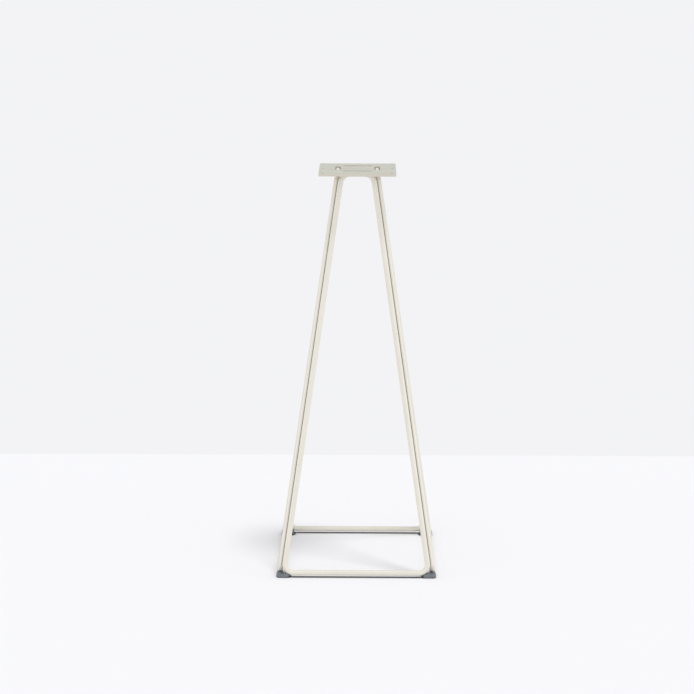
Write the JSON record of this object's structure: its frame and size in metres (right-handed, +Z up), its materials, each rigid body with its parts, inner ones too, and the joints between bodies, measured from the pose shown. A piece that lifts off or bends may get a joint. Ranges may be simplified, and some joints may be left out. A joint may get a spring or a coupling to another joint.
{
  "type": "bar table base",
  "caption": "Tall slender bar table base: closed loops of bent round rod lean together into a pyramid under a square slotted plate, on moulded corner glides.",
  "frame": {"origin": "on the floor under the middle of the base", "axes": "+Z up, -Y towards the front as the picture shows it, +X to its right"},
  "size_m": [0.418, 0.418, 1.05],
  "materials": {
    "ivory_paint": "satin powder coat",
    "plate_paint": "satin powder coat",
    "glide_plastic": "moulded, slight sheen",
    "screw_steel": "zinc plated"
  },
  "bodies": {
    "root": {"front_loop": "ivory_paint", "right_loop": "ivory_paint", "back_loop": "ivory_paint", "left_loop": "ivory_paint", "top_plate": "plate_paint", "front_left_glide": "glide_plastic", "front_left_boss": "screw_steel", "front_left_glide_screw": "screw_steel", "front_right_glide": "glide_plastic", "front_right_boss": "screw_steel", "front_right_glide_screw": "screw_steel", "back_right_glide": "glide_plastic", "back_right_boss": "screw_steel", "back_right_glide_screw": "screw_steel", "back_left_glide": "glide_plastic", "back_left_boss": "screw_steel", "back_left_glide_screw": "screw_steel", "leg_weld_beads": "ivory_paint", "plate_weld_beads": "ivory_paint"}
  },
  "joints": []
}
